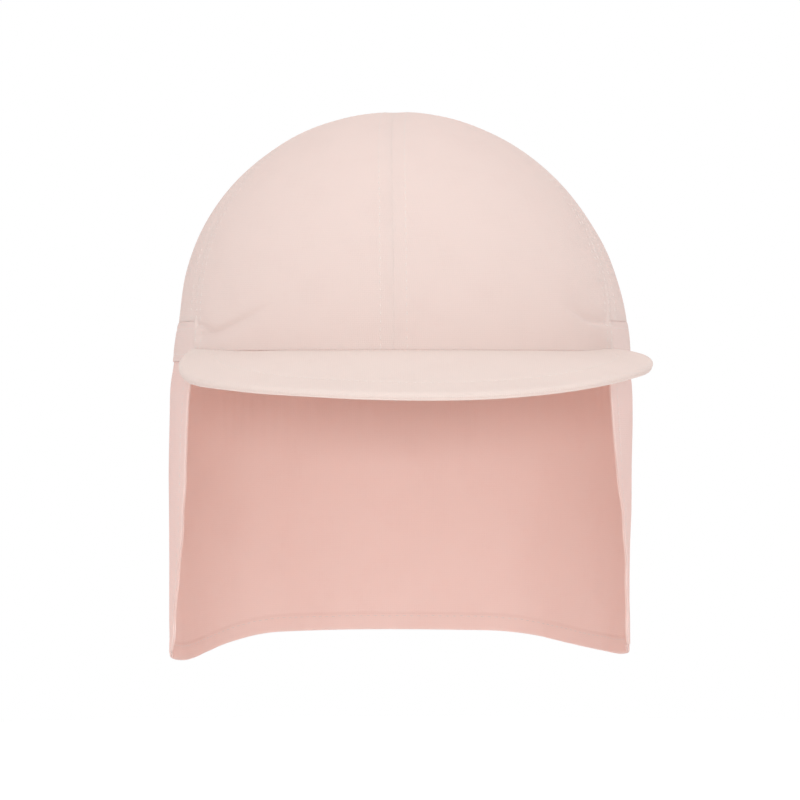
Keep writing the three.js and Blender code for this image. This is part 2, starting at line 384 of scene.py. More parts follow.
# The crown without dents, and the way inwards at each place.
def crownShape(turn, latitude):
    facing, aside = np.cos(np.radians(turn)), np.sin(np.radians(turn))
    side = np.where(aside > 0, crown["leftRoundness"], crown["rightRoundness"])
    end = np.where(facing > 0, crown["foreheadRoundness"], crown["napeRoundness"])
    power = blendTo(side, end, facing ** 2)
    up = np.sin(latitude)
    out = (1 - np.clip(up, 0, 1) ** power) ** (1 / power)
    top = np.array([crown["lean"], crown["setBack"], 0])
    spoke = rimPoint(turn) - top
    point = top + spoke * out[..., None]
    point[..., 2] = crown["height"] * up
    inward = -spoke / np.linalg.norm(spoke, axis=-1, keepdims=True) * np.cos(latitude)[..., None]
    inward[..., 2] = -up
    return point, inward


def flatSide(turn, height):
    flat = crown["flat"]
    around, up = wrap(turn) - flat["turn"], height - flat["height"]
    return flat["depth"] * bell(around, flat["wide"]) * bell(up, flat["high"])


def elasticPull(turn, height):
    turns, depths = zip(*casing["pull"])
    fall = foldShape(height - casing["height"], casing["pullAbove"], casing["pullBelow"])
    return np.interp(wrap(turn), turns, depths) * fall


# 0 at the sides, where the casing lies flat, and 1 round the back, where it is gathered.
def tightness(turn):
    return ramp(np.abs(wrap(turn)), casing["gathersFrom"], casing["gathersTo"])


# The elastic gathers the cloth into upright waves, narrow in the furrows and round on top.
def gatherWave(turn, seed=5, closer=1):
    strength = tightness(turn)
    around = np.mod(turn, 360) * closer
    shift = crumple(around, 0 * around, casing["gatherShiftSize"], seed) * casing["gatherShift"]
    gathered = 250  # degrees of the casing that its gathers are counted in
    phase = 2 * math.pi * (around / 360 * casing["gathers"] * 360 / gathered + shift)
    uneven = crumple(around, 0 * around + 7, casing["gatherUnevennessSize"], seed + 1)
    size = 1 - casing["gatherUnevenness"] + casing["gatherUnevenness"] * uneven
    wave = np.abs(np.cos(phase / 2)) ** casing["gatherRoundness"]
    return (wave - 0.6) * 1.6 * strength * size  # from about -1 in a furrow to 0.6 on top


def creaseDent(turn, latitude):
    height = crown["height"] * np.sin(latitude)
    total = np.zeros_like(height)
    for crease in creases:
        left = crease["side"] == "left"
        seam = leftSeam(latitude) - turn if left else turn - rightSeam(latitude)
        steps, heights = zip(*crease["path"])
        fine = np.linspace(steps[0], steps[-1], creaseEnds["steps"])
        smooth = smoothed(np.interp(fine, steps, heights), creaseEnds["smoothing"])
        along = seam / steps[-1]
        fade = np.maximum(ramp(along, *creaseEnds["in"]), crease.get("start", 0))
        fade = fade * (1 - ramp(along, *creaseEnds["out"]))
        away = height - np.interp(seam, fine, smooth)
        total += crease["depth"] * fade * foldShape(away, crease["above"], crease["below"])
    return total


# Dents that both faces of the cloth follow. Only the front panels have creases, and only those
# behind are drawn in by the elastic.
def crownDent(turn, latitude, seamDistance, behind):
    height = crown["height"] * np.sin(latitude)
    wrapped = wrap(turn)
    furrow = crown["seamSink"] * bell(seamDistance, crown["seamWidth"])
    pull = elasticPull(turn, height) * behind + flatSide(turn, height)
    creased = creaseDent(wrapped, latitude) * (not behind)
    above = np.maximum(height - casing["height"], 0)
    gathered = gatherWave(turn) * casing["gatherDepth"] * casing["climbShare"]
    gathered = gathered * np.exp(-(above / casing["climb"]) ** casing["climbPower"])
    around, up = np.radians(wrapped) * crown["halfWidth"] + 300, height + 60
    large, small = crown["driftSizes"]
    slow = crumple(around, up, large, 11) + 0.5 * crumple(around, up, small, 12)
    drift = crown["drift"] * slow * ramp(seamDistance, 0, crown["driftFrom"])
    return furrow + pull + creased - gathered - drift


# How far the outer face sinks near a seam, below the wall's own shape.
def seamDent(distance, along, rows, seed):
    first, last = seamLook["allowanceEnds"]
    folded = 1 - ramp(distance, rows[-1] + first, rows[-1] + last)
    dent = seamLook["roll"] * rolled(distance, seamLook["rollWidth"])
    dent = dent - seamLook["allowance"] * folded
    for row in rows:
        dent = dent + seamLook["pull"] * bell(distance - row, seamLook["pullWidth"])
    pucker = crumple(along, 0 * along, seamLook["puckerLength"], seed)
    near = bell(distance - rows[-1], seamLook["puckerWidth"])
    return dent + seamLook["pucker"] * pucker * near


# Columns lie close together where a seam turns over and along the rows of stitches.
edgeSteps = np.array([
    0, 0.12, 0.3, 0.55, 0.85, 1.25, 1.6, 1.95, 2.5, 3.2, 3.8,
    4.15, 4.4, 4.65, 5.0, 5.4, 5.8, 6.4, 7.2, 8.4, 10, 12,
])
fullPanel = 60  # a panel narrower than this squeezes those columns


# One panel between two seams. Its columns keep their distance from the seams on the way up.
def crownPanel(name, seams, stitchRows, columns, behind, seed):
    startSeam, endSeam = seams
    startRows, endRows = stitchRows
    bottom = crown["backBottom"] if behind else crown["frontBottom"]
    firstRow = math.asin(bottom / crown["height"])
    closeRow = math.asin(crown["rowsTo"] / crown["height"])
    topRow = math.acos(crown["tip"] / crown["halfWidth"])
    aboveRoll = 0.019  # the first of the even rows, as an angle above the bottom
    closeCount = int((crown["rowsTo"] - bottom) / crown["rowHeight"])
    latitudes = np.concatenate([
        firstRow + np.array(crown["bottomRows"]) / crown["height"],
        np.linspace(firstRow + aboveRoll, closeRow, closeCount),
        np.linspace(closeRow, topRow, crown["rowsAbove"])[1:],
    ])
    samples = np.linspace(0, 1, 160)
    starts, ends = startSeam(latitudes), endSeam(latitudes)
    sampleTurns = blendTo(starts[:, None], ends[:, None], samples[None])
    sampled, _ = crownShape(sampleTurns, np.repeat(latitudes[:, None], len(samples), 1))
    reach = lengthAlong(sampled, 1)
    middle = np.linspace(0, 1, columns + 2)[1:-1]
    turns, fromStart = [], []
    for row, width in enumerate(reach[:, -1]):
        near = edgeSteps * min(1, width / fullPanel)
        between = blendTo(near[-1], width - near[-1], middle)
        steps = np.concatenate([near, between, (width - near)[::-1]])
        turns.append(np.interp(steps, reach[row], sampleTurns[row]))
        fromStart.append(steps)
    turns, fromStart = np.array(turns), np.array(fromStart)
    toEnd = reach[:, -1:] - fromStart
    latitude = np.repeat(latitudes[:, None], turns.shape[1], 1)
    base, inward = crownShape(turns, latitude)
    dent = crownDent(turns, latitude, np.minimum(fromStart, toEnd), behind)
    soft = base + inward * dent[..., None]
    normals = gridNormals(soft)
    upLength = lengthAlong(soft, 0)
    sunk = np.maximum(
        seamDent(fromStart, upLength, startRows, seed),
        seamDent(toEnd, upLength, endRows, seed + 1),
    )
    fromBottom = (latitude - firstRow) * crown["height"]
    sunk = sunk + crown["bottomRoll"] * rolled(fromBottom, crown["bottomRollWidth"])
    outer = soft - normals * sunk[..., None]
    inner = soft - normals * crown["cloth"]
    places = np.stack([fromStart - reach[:, -1:] / 2, latitude * crown["height"]], -1)
    panel = makeCloth(name, outer, inner, places)
    outerNormals = gridNormals(outer)
    lines = [lineAtDistance(outer, outerNormals, fromStart, row) for row in startRows]
    lines += [lineAtDistance(outer, outerNormals, toEnd, row) for row in endRows]
    return panel, lines


# Each panel's name, the seams that it runs between, the rows of stitches beside them, the
# columns between its edges, whether it is behind, and its seed.
panelCuts = [
    ("crown_front_left", (frontSeam, leftSeam), (centreRows, sideSeamRows), 78, False, 21),
    ("crown_front_right", (rightSeam, frontSeam), (sideSeamRows, centreRows), 78, False, 23),
    ("crown_back_left", (leftSeam, napeSeam), (centreRows, centreRows), 150, True, 25),
    ("crown_back_right", (napeSeamRight, rightSeam), (centreRows, centreRows), 150, True, 27),
]
panels = {}
crownLines = []
for name, *cut in panelCuts:
    panels[name], lines = crownPanel(name + "_cloth", *cut)
    crownLines += lines
crownStitches = makeStitches("crown_stitches", crownLines)
print("crown sewn from", len(panels), "panels")


# The casing: a gathered tube with elastic inside, flat along its two rows of stitches

# Rows lie close together at its edges and along its stitches.
casingRows = np.array([
    0, 0.1, 0.25, 0.5, 0.85, 1.3, 1.8, 2.15, 2.4, 2.65, 3.0, 3.6, 4.5, 5.6, 6.9, 8.2, 9.3, 10.2,
    10.8, 11.15, 11.4, 11.65, 12, 12.5, 13, 13.4, 13.7, 13.88, 13.98,
])


def makeCasing():
    latitudes = np.arcsin(casingRows / crown["height"])
    start, end = leftSeam(latitudes), 360 + rightSeam(latitudes)
    share = np.linspace(0, 1, casing["columns"])
    share = share - casing["crowding"] * np.sin(2 * math.pi * share) / (2 * math.pi)
    gap = casing["seamGap"] * (1 / (crown["halfWidth"] * math.pi / 180))
    turns = blendTo((start + gap)[:, None], (end - gap)[:, None], share[None])
    latitude = np.repeat(latitudes[:, None], casing["columns"], 1)
    height = np.repeat(casingRows[:, None], casing["columns"], 1)
    base, inward = crownShape(turns, latitude)
    edge = np.minimum(turns - start[:, None], end[:, None] - turns)
    edge = edge * crown["halfWidth"] * math.pi / 180
    furrow = crown["seamSink"] * bell(edge, crown["seamWidth"])
    sunk = elasticPull(turns, height) + flatSide(turns, height) + furrow
    soft = base + inward * sunk[..., None]
    normals = gridNormals(soft)
    low, high = casing["rows"]
    between = np.clip((height - low) / (high - low), 0, 1)
    puff = casing["puff"] * np.sin(math.pi * between) ** 0.8
    rows = sum(bell(height - row, casing["rowWidth"]) for row in casing["rows"])
    lean = crumple(turns * casing["leanSlope"], height, casing["leanSize"], 31)
    lean = casing["lean"] * lean
    flatter = 1 - casing["rowFlattening"] * np.clip(rows, 0, 1)
    wave = gatherWave(turns + lean) * casing["gatherDepth"] * flatter
    fine = casing["fine"]
    fineWave = gatherWave(turns, fine["seed"], fine["closer"]) * fine["depth"]
    tight = tightness(turns)
    rowDepth = casing["rowDepth"][0] + casing["rowDepth"][1] * tight
    edgeRoll = casing["edgeRoll"][0] + casing["edgeRoll"][1] * tight
    fromEdge = np.minimum(height, casingRows[-1] - height)
    outward = puff * tight + wave + fineWave - rowDepth * rows
    outward = outward * ramp(edge, 0, casing["flatEnds"])
    rolls = edgeRoll * rolled(fromEdge, casing["edgeRollWidth"])
    outward -= rolls + casing["endRoll"] * rolled(edge, casing["endRollWidth"])
    outer = soft + normals * outward[..., None]
    inside = casing["insideShare"] * (wave * ramp(edge, 0, casing["flatEnds"]))
    thickness = casing["thickness"] - inside + casing["rowPinch"] * rows
    inner = soft - normals * thickness[..., None]
    places = np.stack([lengthAlong(soft, 1) * casing["fullness"], height], -1)
    band = makeCloth("back_casing_cloth", outer, inner, places)
    across, acrossNormals = outer.transpose(1, 0, 2), gridNormals(outer).transpose(1, 0, 2)
    lines = [lineAtDistance(across, acrossNormals, height.T, row) for row in casing["rows"]]
    return band, makeStitches("casing_stitches", lines)


casingBand, casingStitches = makeCasing()
print("casing gathered")


# The peak: a stiff board between two layers of cotton, topstitched near its edge

peak = {
    "thickness": 3.0,
    "reach": 47.5,
    "halfWidth": 81.6,
    "shift": 5.2,
    "tipsForward": 45,
    "fall": 17,
    "roll": 10,  # the left end falls less than the middle, and the right end more
    "endReach": 2.4,
    "endSharpness": 26,
    "endGap": 0.12,
    "columns": 240,
    "crowding": 0.86,  # how much closer its columns lie towards the ends
    "fullDepth": 26,  # where it is less deep than this, its rows are squeezed
    "topstitch": 12.0,
    "topstitchDent": 0.16,
    "topstitchWidth": 0.6,
    "pucker": 0.08,
    "puckerLength": 5,
    "puckerWidth": 2.6,
    "sewnIn": 1.4,
    "above": 0.25,
    "drift": 0.16,
    "driftSize": 21,
    "driftFrom": (1, 9),
    "noseFurrow": 0.2,  # where its two layers meet, and its width in degrees round the nose
    "noseFurrowWidth": 20,
    "sewnRoll": 0.04,  # where it goes in under the crown
    "sewnRollWidth": 0.6,
    "slimming": 0.2,  # share of its lower half lost at the edge, where the board has ended
    "slimFrom": 7.0,
    "slimTurns": (34, 56),
    "lowerSetBack": 0.4,
    "tilt": 2.7,  # the ends lean forward, about a line this far in front of the middle of the head
    "tiltLine": 62,
    "leftTiltTurns": (42, 62),
    "rightTiltTurns": (28, 52),
}
# Rows round the nose are set out by angle, and those on the plate by distance from the edge.
noseAngles = [90, 84, 78, 70, 60, 48, 36, 24, 12]
plateSteps = [
    0, 0.4, 0.9, 1.6, 2.4, 3.4, 4.6, 6.0, 7.4, 8.5,
    9.3, 9.8, 10.2, 10.5, 10.8, 11.2, 11.8, 12.7, 14,
]
plateRows = 30


def peakReachAt(turn):
    start = rimPoint(turn)
    ray = rimPoint(turn, 1) - start
    length = crown["front"] + peak["reach"] - peak["tipsForward"]
    x = (start[..., 0] - peak["shift"]) / peak["halfWidth"]
    y = (start[..., 1] + peak["tipsForward"]) / length
    dx, dy = ray[..., 0] / peak["halfWidth"], ray[..., 1] / length
    a, b, c = dx * dx + dy * dy, x * dx + y * dy, x * x + y * y - 1
    reach = (np.sqrt(b * b - a * c) - b) / a
    seam = np.where(turn > 0, crown["leftSeamTurn"], crown["rightSeamTurn"])
    rounding = np.sqrt(np.clip(1 - (turn / seam) ** peak["endSharpness"], 0, 1))
    return peak["endReach"] + (reach - peak["endReach"]) * rounding


def makePeak():
    nose = peak["thickness"] / 2
    share = np.linspace(0, 1, peak["columns"])
    share = share - peak["crowding"] * np.sin(2 * math.pi * share) / (2 * math.pi)
    rightEnd = crown["rightSeamTurn"] + peak["endGap"]
    leftEnd = crown["leftSeamTurn"] - peak["endGap"]
    turn = blendTo(rightEnd, leftEnd, share)
    reach = peakReachAt(turn)
    fall = peak["fall"] - peak["roll"] * turn * np.abs(turn) / crown["leftSeamTurn"] ** 2
    outline = rimPoint(turn, reach)[:, :2]
    plate = reach - nose
    squeeze = np.minimum(1, plate / peak["fullDepth"])
    last = plate - plateSteps[-1] * squeeze
    outs = [plate + nose * math.sin(math.radians(angle)) for angle in noseAngles]
    outs += [plate - step * squeeze for step in plateSteps]
    outs += [last * step for step in np.linspace(1, 0, plateRows)[1:]]
    outs.append(np.full_like(turn, -peak["sewnIn"]))
    out = np.array(outs)
    rounding = np.zeros_like(out)
    rounding[:len(noseAngles)] = np.radians(np.array(noseAngles))[:, None]
    turns = np.repeat(turn[None], len(out), 0)
    flat = rimPoint(turns, out)
    toOutline = np.linalg.norm(flat[:, :, None, :2] - outline[None, None], axis=-1).min(-1)
    along = lengthAlong(flat, 1)
    middle = peak["above"] + nose - np.tan(np.radians(fall))[None] * np.maximum(out, 0)
    leftLean, rightLean = ramp(turns, *peak["leftTiltTurns"]), ramp(-turns, *peak["rightTiltTurns"])
    leaning = np.where(turns > 0, leftLean, rightLean)
    fromLine = flat[..., 1] + peak["tiltLine"]
    middle = middle + math.tan(math.radians(peak["tilt"])) * fromLine * leaning
    row = bell(toOutline - peak["topstitch"], peak["topstitchWidth"])
    beside = bell(toOutline - peak["topstitch"], peak["puckerWidth"])
    pucker = crumple(along, 0 * along, peak["puckerLength"], 51) * beside
    sunk = peak["topstitchDent"] * row + peak["pucker"] * pucker
    furrow = bell(math.pi / 2 - rounding, math.radians(peak["noseFurrowWidth"]))
    furrow = peak["noseFurrow"] * furrow
    slow = peak["drift"] * crumple(along + 90, out + 40, peak["driftSize"], 53)
    slow = slow * ramp(out, *peak["driftFrom"])
    centre = 1 - ramp(np.abs(turns), *peak["slimTurns"])
    nearEdge = 1 - ramp(toOutline, 0, peak["slimFrom"])
    sewnRoll = peak["sewnRoll"] * rolled(np.maximum(out, 0), peak["sewnRollWidth"])
    faces = []
    for side in (1, -1):
        lower = side < 0
        slim = 1 - peak["slimming"] * nearEdge * centre * lower
        height = (nose * slim - sunk + side * slow) * np.cos(rounding) - sewnRoll
        points = rimPoint(turns, out - furrow - peak["lowerSetBack"] * np.sin(rounding) * lower)
        points[..., 2] = middle + side * np.maximum(height, 0.02)
        faces.append(points)
    places = np.stack([flat[..., 0], flat[..., 1]], -1)
    # Rows run from the nose back to the crown, which is up the plate as seen from above.
    board = makeCloth("peak_cloth", faces[0], faces[1], places)
    plateOnly = slice(len(noseAngles), None)
    lines = []
    for points, sign in ((faces[0], 1), (faces[1], -1)):
        across = points[plateOnly].transpose(1, 0, 2)
        acrossNormals = (gridNormals(points) * sign)[plateOnly].transpose(1, 0, 2)
        distances = toOutline[plateOnly].T
        lines.append(lineAtDistance(across, acrossNormals, distances, peak["topstitch"]))
    return board, makeStitches("peak_stitches", lines)


peakBoard, peakStitches = makePeak()
print("peak made")


# The neck flap: a single layer hung from the casing, hemmed along three sides

flap = {
    "cloth": 0.8,
    "drop": 99,
    "setIn": 0.4,
    "swell": 0.9,
    "swellDepth": 6,
    "frontRise": 7,  # its front ends are cut this much shorter again
    "frontRiseTurns": (72, 118),
    "corner": 11,
    "foldDepth": 1.3,
    "hem": 5.9,
    "hemThickness": 1.15,
    "hemStitch": 5.1,
    "stitchDent": 0.08,
    "hemRoll": 0.75,
    "top": 0.03,
    "endGap": 0.12,
    "columns": 270,
    "rows": 58,
    "ripple": 0.28,
    "rippleLength": 8,
    "rippleStretch": 0.35,  # under 1, because they run straight away from the edge
    "smallRippleLength": 4.1,
    "smallRippleStretch": 0.3,
    "sideRipple": 0.7,  # beside the hem's
    "sideRippleLength": 8.5,
    "sideRippleFromTop": (0, 15),
    "flatEnds": 8,
    "ripplesRise": 13,  # how far above the hem the ripples die out
    "ripplesReach": 9,  # and how far behind the front edges
    "drift": ((31, 0.4), (17, 0.2)),  # the size and depth of slow waves
    "driftFromTop": (3, 25),
    "driftFromEdge": (0, 10),
    "flatWidth": 352,  # along the hem, opened out
    "flatLength": 105,
}
# Upright folds: turn, half its width and depth, outwards if more than 0.
flapFolds = [
    (80, 14, -1.2), (113, 8, 0.6), (130, 8, -0.7), (149, 9, 0.9), (171, 8, -0.6),
    (193, 10, 0.8), (216, 8, -0.9), (238, 9, 0.7), (258, 7, -0.6), (279, 9, -0.3),
]
# How square the flap's opening is, from 0 at its top to 1 at its hem, and the lobe of the hem.
flapSides = {
    "left": {
        "squareness": [
            (0, 2.0), (0.06, 1.92), (0.225, 1.98), (0.35, 2.08), (0.45, 2.2), (0.535, 2.35),
            (0.62, 2.53), (0.72, 2.66), (0.81, 2.75), (1, 2.82),
        ],
        "dip": 0.053, "dipTurns": (22, 70)},
    "right": {
        "squareness": [
            (0, 2.0), (0.08, 2.1), (0.22, 2.16), (0.4, 2.22), (0.58, 2.32), (0.7, 2.43),
            (0.8, 2.56), (0.9, 2.75), (1, 2.98),
        ],
        "dip": 0.076, "dipTurns": (34, 72)},
}
# Rows and columns lie close together at the hem's edge and along its stitches.
hemSteps = np.array([
    0, 0.08, 0.2, 0.4, 0.7, 1.2, 2, 3.2, 4.2, 4.6, 4.85,
    5.1, 5.35, 5.6, 6.0, 6.5, 7.2, 8.6, 10.4,
])
topSteps = np.array([6, 4.5, 3.2, 2.2, 1.4, 0.8, 0.4, 0.15, 0])


def squarenessAt(side, shares):
    at, values = zip(*flapSides[side]["squareness"])
    steps = np.linspace(0, 1, 201)
    return np.interp(shares, steps, smoothed(np.interp(steps, at, values), 12))


def openingAt(turn, squareness):
    facing = np.maximum(np.cos(np.radians(turn)), 0)
    return (1 - facing ** squareness) ** (1 / squareness) / np.sqrt(1 - facing ** 2)


def flapDropAt(turn, fromEdge):
    fromNape = np.abs(turn - 180)
    dips = [side["dip"] * ramp(fromNape, *side["dipTurns"]) for side in flapSides.values()]
    rise = flap["frontRise"] * ramp(fromNape, *flap["frontRiseTurns"])
    dip = flap["drop"] * np.where(turn < 180, *dips) - rise
    inCorner = np.maximum(flap["corner"] - fromEdge, 0)
    corner = flap["corner"] - np.sqrt(np.maximum(flap["corner"] ** 2 - inCorner ** 2, 0))
    return flap["drop"] + dip - corner


def makeFlap():
    scale = math.radians(1) * crown["halfWidth"]
    leftEdge = crown["leftSeamTurn"] + flap["endGap"]
    rightEdge = 360 + crown["rightSeamTurn"] - flap["endGap"]
    nearLeft = leftEdge + hemSteps / scale
    nearRight = rightEdge - hemSteps[::-1] / scale
    between = np.linspace(nearLeft[-1], nearRight[0], flap["columns"])[1:-1]
    turn = np.concatenate([nearLeft, between, nearRight])
    fromEdge = np.minimum(turn - leftEdge, rightEdge - turn) * scale
    middle = np.linspace(hemSteps[-1], flap["drop"] - topSteps[0], flap["rows"])[1:-1]
    fromHem = np.concatenate([hemSteps, middle, flap["drop"] - topSteps])
    # The rows are set out for the nape's length, and stretch a little where the flap is longer.
    share = 1 - fromHem / flap["drop"]
    drop = flapDropAt(turn, fromEdge) - flap["top"]
    turns = np.repeat(turn[None], len(share), 0)
    shares = np.repeat(share[:, None], len(turn), 1)
    along, fromTop = turns * scale, shares * drop
    hemDistance = (1 - shares) * drop[None]
    edgeDistance = np.repeat(fromEdge[None], len(share), 0)

    swell = flap["swell"] * (1 - bell(fromTop, flap["swellDepth"]))
    folds = sum(depth * bell(turns - at, width) for at, width, depth in flapFolds)
    gathered = gatherWave(turns) * casing["hangShare"]
    gathered = gathered * np.exp(-(fromTop / casing["hangDown"]) ** casing["hangPower"])
    gathered *= ramp(edgeDistance, 0, flap["flatEnds"])
    upHem, upSmall = hemDistance * flap["rippleStretch"], hemDistance * flap["smallRippleStretch"]
    ripples = crumple(along, upHem, flap["rippleLength"], 61)
    ripples = ripples + 0.6 * crumple(along, upSmall, flap["smallRippleLength"], 62)
    inFront = edgeDistance * flap["rippleStretch"]
    sideRipples = flap["sideRipple"] * crumple(inFront, fromTop, flap["sideRippleLength"], 63)
    aboveHem, behindEdge = np.maximum(hemDistance - 5, 0), np.maximum(edgeDistance - 5, 0)
    nearHem = np.exp(-(aboveHem / flap["ripplesRise"]) ** 1.5)
    nearFront = np.exp(-(behindEdge / flap["ripplesReach"]) ** 1.5)
    sideRipples = sideRipples * nearFront * ramp(fromTop, *flap["sideRippleFromTop"])
    slow = sum(
        crumple(along + 50, fromTop + 50, size, 64 + number) * depth
        for number, (size, depth) in enumerate(flap["drift"])
    )
    out = swell - flap["setIn"] + flap["foldDepth"] * folds * ramp(shares, 0.1, 1)
    out = out + gathered + flap["ripple"] * (ripples * nearHem + sideRipples)
    slow = slow * ramp(fromTop, *flap["driftFromTop"])
    out = out + slow * ramp(edgeDistance, *flap["driftFromEdge"])
    out = out - flatSide(turns, -fromTop)

    soft = rimPoint(turns, out)
    onLeft = turns < 180
    left, right = squarenessAt("left", shares), squarenessAt("right", shares)
    soft[..., 0] *= openingAt(turns, np.where(onLeft, left, right))
    soft[..., 2] = -flap["top"] - fromTop
    normals = gridNormals(soft)
    nearEdge = np.minimum(hemDistance, edgeDistance)
    pastHem = ramp(nearEdge, flap["hem"] - 0.7, flap["hem"] + 0.7)
    thickness = blendTo(flap["hemThickness"], flap["cloth"], pastHem)
    edgeRoll = thickness / 2 * rolled(nearEdge, flap["hemRoll"]) + 0.1 * rolled(fromTop, 0.5)
    stitched = flap["stitchDent"] * bell(nearEdge - flap["hemStitch"], 0.5)
    outer = soft - normals * (edgeRoll + stitched)[..., None]
    inner = soft - normals * (thickness - edgeRoll - stitched)[..., None]
    places = np.stack([along, -fromTop], -1)
    sheet = makeCloth("neck_flap_cloth", outer, inner, places)

    # A row along the hem from one upright row to the other, and those two, on both faces
    first = int(np.argmax(hemSteps >= flap["hemStitch"] - 0.01))
    inside = slice(first, -first - 1)
    half = len(turn) // 2
    above = hemDistance[:, half] > flap["hemStitch"]
    lines = []
    for points, sign in ((outer, 1), (inner, -1)):
        faceNormals = gridNormals(points) * sign
        lines.append(lineAtDistance(
            points.transpose(1, 0, 2)[inside], faceNormals.transpose(1, 0, 2)[inside],
            hemDistance.T[inside], flap["hemStitch"],
        ))
        for part in (slice(None, half), slice(half, None)):
            lines.append(lineAtDistance(
                points[above][:, part], faceNormals[above][:, part],
                edgeDistance[above][:, part], flap["hemStitch"],
            ))
    return sheet, makeStitches("flap_stitches", lines)


flapSheet, flapStitches = makeFlap()
print("neck flap hung")


# Materials

# An sRGB hex colour as Blender's linear colour.
def linearColour(text):
    values = [int(text[i:i + 2], 16) / 255 for i in (1, 3, 5)]
    return [v / 12.92 if v <= 0.04045 else ((v + 0.055) / 1.055) ** 2.4 for v in values] + [1]


def addNode(tree, kind, settings=None, links=None):
    node = tree.nodes.new(kind)
    for name, value in (settings or {}).items():
        if isinstance(name, str) and hasattr(node, name):
            setattr(node, name, value)
        else:
            node.inputs[name].default_value = value
    for name, socket in (links or {}).items():
        tree.links.new(socket, node.inputs[name])
    return node


# The wave texture's scale that puts one band to each spacing, in millimetres.
def bandScale(spacing):
    return 2 * math.pi / 20 / (spacing * millimetre)


cotton = {
    # The real poplin has about four threads to a millimetre. That is too fine to show, so they
    # are drawn this far apart.
    "threadSpacing": 0.7,
    "threadRise": 0.035,
    # Painted shade: the colour is made darker between the threads, where the weave's furrows lie in
    # shade.
    "paintedFurrowShade": 0.965,  # how much darker it is between two threads
    "slubLength": 9.0,
    "slubWidth": 0.55,
    "slubRise": 0.6,  # beside a thread's rise
    "patchSize": 16.0,
    "toneFrom": 0.6,
    "toneTo": 1.0,
    "bumpStrength": 0.6,
    "roughness": 0.86,
    "roughnessSpread": 0.06,
    "specular": 0.25,
    "sheen": 0.12,
    "sheenRoughness": 0.5,
    "fuzz": "#fff6f2",
}


# Plain-woven cotton, piece-dyed and matt: no gleam, a fine even grain of threads and here and
# there a thicker thread, so that the pink isn't quite the same from one millimetre to the next.
# The share that passes is the light that goes on through a face, in the colour of through.
def plainWovenCotton(name, colour, deeper, through, passes):
    material = bpy.data.materials.new(name)
    material.use_nodes = True
    tree = material.node_tree
    tree.nodes.clear()
    place = addNode(tree, "ShaderNodeUVMap", {"uv_map": "clothPlace"}).outputs["UV"]
    threads = bandScale(cotton["threadSpacing"])
    warp = addNode(tree, "ShaderNodeTexWave", {
        "bands_direction": "X", "Scale": threads}, {"Vector": place})
    weft = addNode(tree, "ShaderNodeTexWave", {
        "bands_direction": "Y", "Scale": threads}, {"Vector": place})
    over = addNode(tree, "ShaderNodeTexChecker", {
        "Scale": 1 / (cotton["threadSpacing"] * millimetre),
        "Color1": (0, 0, 0, 1), "Color2": (1, 1, 1, 1)}, {"Vector": place})
    weave = addNode(tree, "ShaderNodeMix", {"data_type": "RGBA"}, {
        0: over.outputs["Fac"], 6: warp.outputs["Color"], 7: weft.outputs["Color"]}).outputs[2]
    slubs = []
    for size in (("slubWidth", "slubLength"), ("slubLength", "slubWidth")):
        across, up = [1 / (cotton[side] * millimetre) for side in size]
        stretched = addNode(tree, "ShaderNodeMapping", {"Scale": (across, up, 1)}, {
            "Vector": place}).outputs["Vector"]
        slubs.append(addNode(tree, "ShaderNodeTexNoise", {
            "Scale": 1, "Detail": 2, "Roughness": 0.5}, {"Vector": stretched}).outputs["Fac"])
    slub = addNode(tree, "ShaderNodeMath", {"operation": "ADD"}, {
        0: slubs[0], 1: slubs[1]}).outputs[0]
    patches = addNode(tree, "ShaderNodeTexNoise", {
        "Scale": 1 / (cotton["patchSize"] * millimetre), "Detail": 3}, {
        "Vector": place}).outputs["Fac"]
    mixed = addNode(tree, "ShaderNodeMath", {"operation": "MULTIPLY_ADD", 1: 0.5}, {
        0: slub, 2: patches}).outputs[0]
    tone = addNode(tree, "ShaderNodeValToRGB", {}, {"Fac": mixed})
    stops = (cotton["toneFrom"], deeper), (cotton["toneTo"], colour)
    for stop, (position, shade) in zip(tone.color_ramp.elements, stops):
        stop.position = position
        stop.color = linearColour(shade)
    # Painted shade in the furrows between the threads, multiplied into the colour.
    furrows = addNode(tree, "ShaderNodeMapRange", {
        "To Min": cotton["paintedFurrowShade"], "To Max": 1.0}, {"Value": weave}).outputs["Result"]
    shaded = addNode(tree, "ShaderNodeMix", {
        "data_type": "RGBA", "blend_type": "MULTIPLY", 0: 1.0}, {
        6: tone.outputs["Color"], 7: furrows}).outputs[2]
    relief = addNode(tree, "ShaderNodeMath", {
        "operation": "MULTIPLY_ADD", 1: cotton["slubRise"]}, {0: slub, 2: weave}).outputs[0]
    bump = addNode(tree, "ShaderNodeBump", {
        "Strength": cotton["bumpStrength"], "Distance": cotton["threadRise"] * millimetre}, {
        "Height": relief}).outputs["Normal"]
    roughness = addNode(tree, "ShaderNodeMapRange", {
        "To Min": cotton["roughness"] - cotton["roughnessSpread"],
        "To Max": cotton["roughness"] + cotton["roughnessSpread"]}, {
        "Value": patches}).outputs["Result"]
    cloth = addNode(tree, "ShaderNodeBsdfPrincipled", {
        "IOR": 1.5,
        "Specular IOR Level": cotton["specular"],
        "Sheen Weight": cotton["sheen"],
        "Sheen Roughness": cotton["sheenRoughness"],
        "Sheen Tint": linearColour(cotton["fuzz"]),
    }, {"Base Color": shaded, "Roughness": roughness, "Normal": bump})
    glow = addNode(tree, "ShaderNodeBsdfTranslucent", {"Color": linearColour(through)})
    both = addNode(tree, "ShaderNodeMixShader", {0: passes}, {
        1: cloth.outputs[0], 2: glow.outputs[0]})
    addNode(tree, "ShaderNodeOutputMaterial", {}, {"Surface": both.outputs[0]})
    return material


